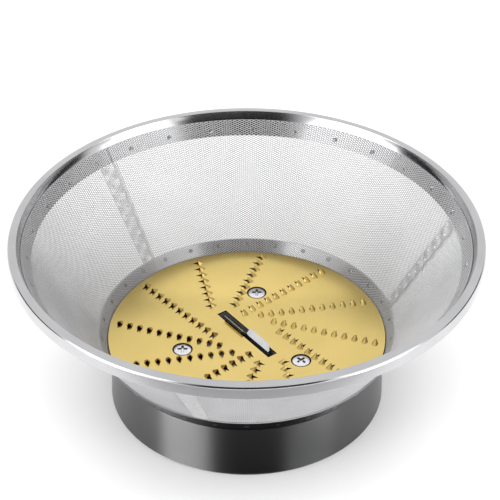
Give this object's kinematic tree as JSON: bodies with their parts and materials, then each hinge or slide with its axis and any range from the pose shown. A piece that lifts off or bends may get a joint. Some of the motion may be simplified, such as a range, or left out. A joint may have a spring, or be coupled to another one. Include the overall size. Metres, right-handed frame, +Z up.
{
  "type": "juicer_mesh_screen",
  "caption": "Filter basket of a centrifugal juicer: polished rim, conical mesh wall of lapped panels, gold-coloured grating disc with raised teeth and a small blade, black moulded base",
  "frame": {"origin": "centre of the foot of the base, where the basket stands", "axes": "+Z up along the spin axis to the open rim; -Y towards the viewer of the picture; +X to the viewer's right"},
  "size_m": [0.196, 0.196, 0.0804],
  "materials": {
    "polished_steel": "polished stainless steel sheet",
    "mesh_steel": "fine perforated stainless steel sheet",
    "gold_coat": "gold-coloured coating on polished steel",
    "blade_steel": "bright steel",
    "black_plastic": "smooth black moulding with a soft gloss"
  },
  "bodies": {
    "root": {"rim_ring": "polished_steel", "mesh_panel_1": "mesh_steel", "mesh_panel_2": "mesh_steel", "mesh_panel_3": "mesh_steel", "base_collar": "polished_steel", "grating_disc": "gold_coat", "centre_blade": "blade_steel", "disc_screws": "blade_steel", "base_moulding": "black_plastic"}
  },
  "joints": []
}
